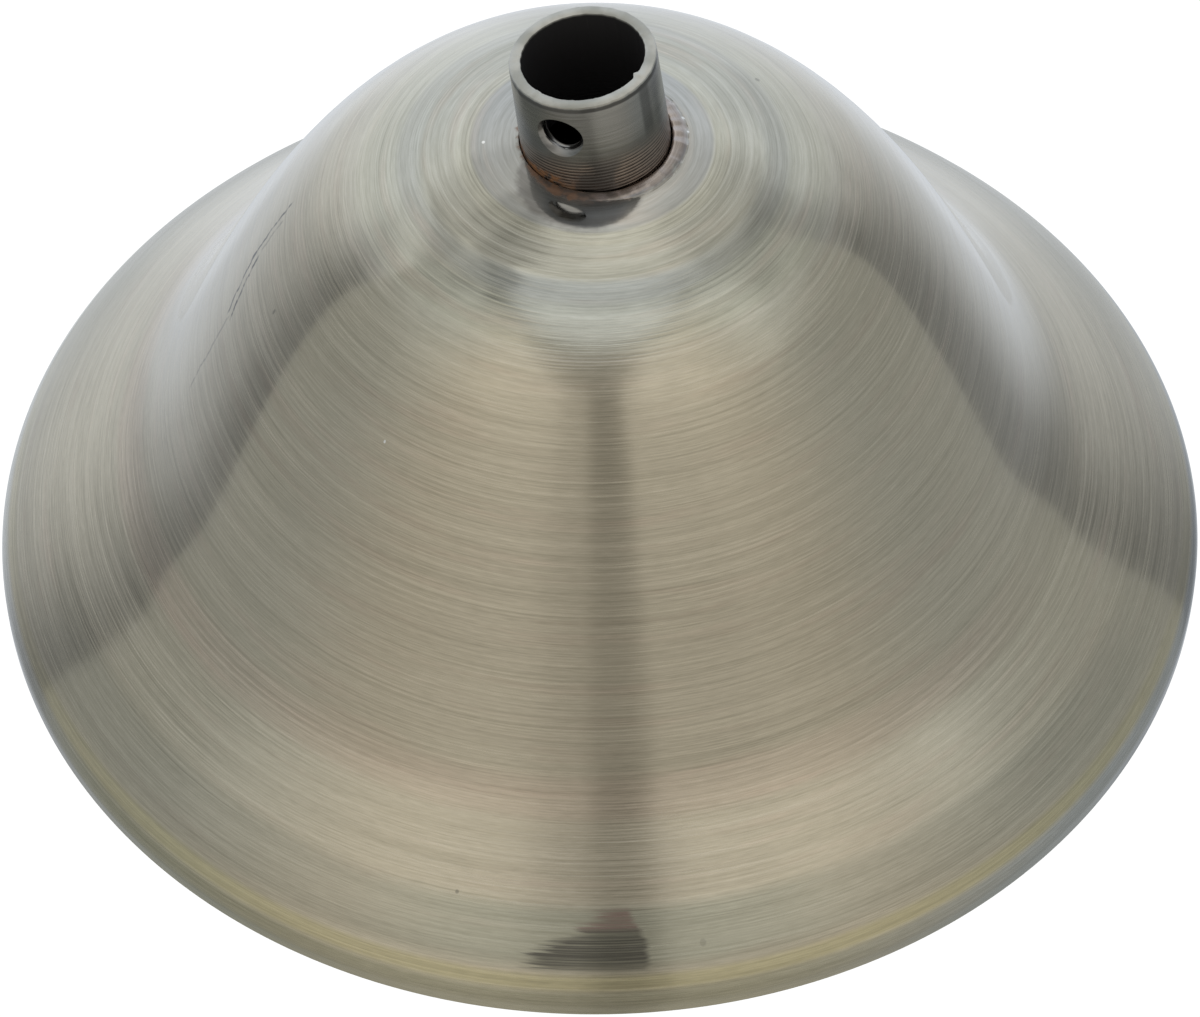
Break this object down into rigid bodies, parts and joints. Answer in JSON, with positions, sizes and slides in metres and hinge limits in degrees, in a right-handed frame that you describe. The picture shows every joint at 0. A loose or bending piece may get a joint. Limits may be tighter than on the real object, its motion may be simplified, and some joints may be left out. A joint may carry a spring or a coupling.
{
  "type": "ceiling canopy",
  "caption": "Bell-shaped spun sheet-metal ceiling canopy with a short leaning top collar, a clear bore and a tapped side hole.",
  "frame": {"origin": "centre of the rim plane, where the canopy meets the ceiling or stands", "axes": "+Z along the shell's axis from the rim to the collar; -Y towards the front, the side with the tapped hole"},
  "size_m": [0.11, 0.11, 0.06],
  "materials": {
    "spun_shell": "antique brass plating, brushed in circles and lacquered",
    "collar_steel": "darkened turned steel with traces of copper, rusty at its foot"
  },
  "bodies": {
    "root": {"bell_shell": "spun_shell", "collar": "collar_steel"}
  },
  "joints": []
}
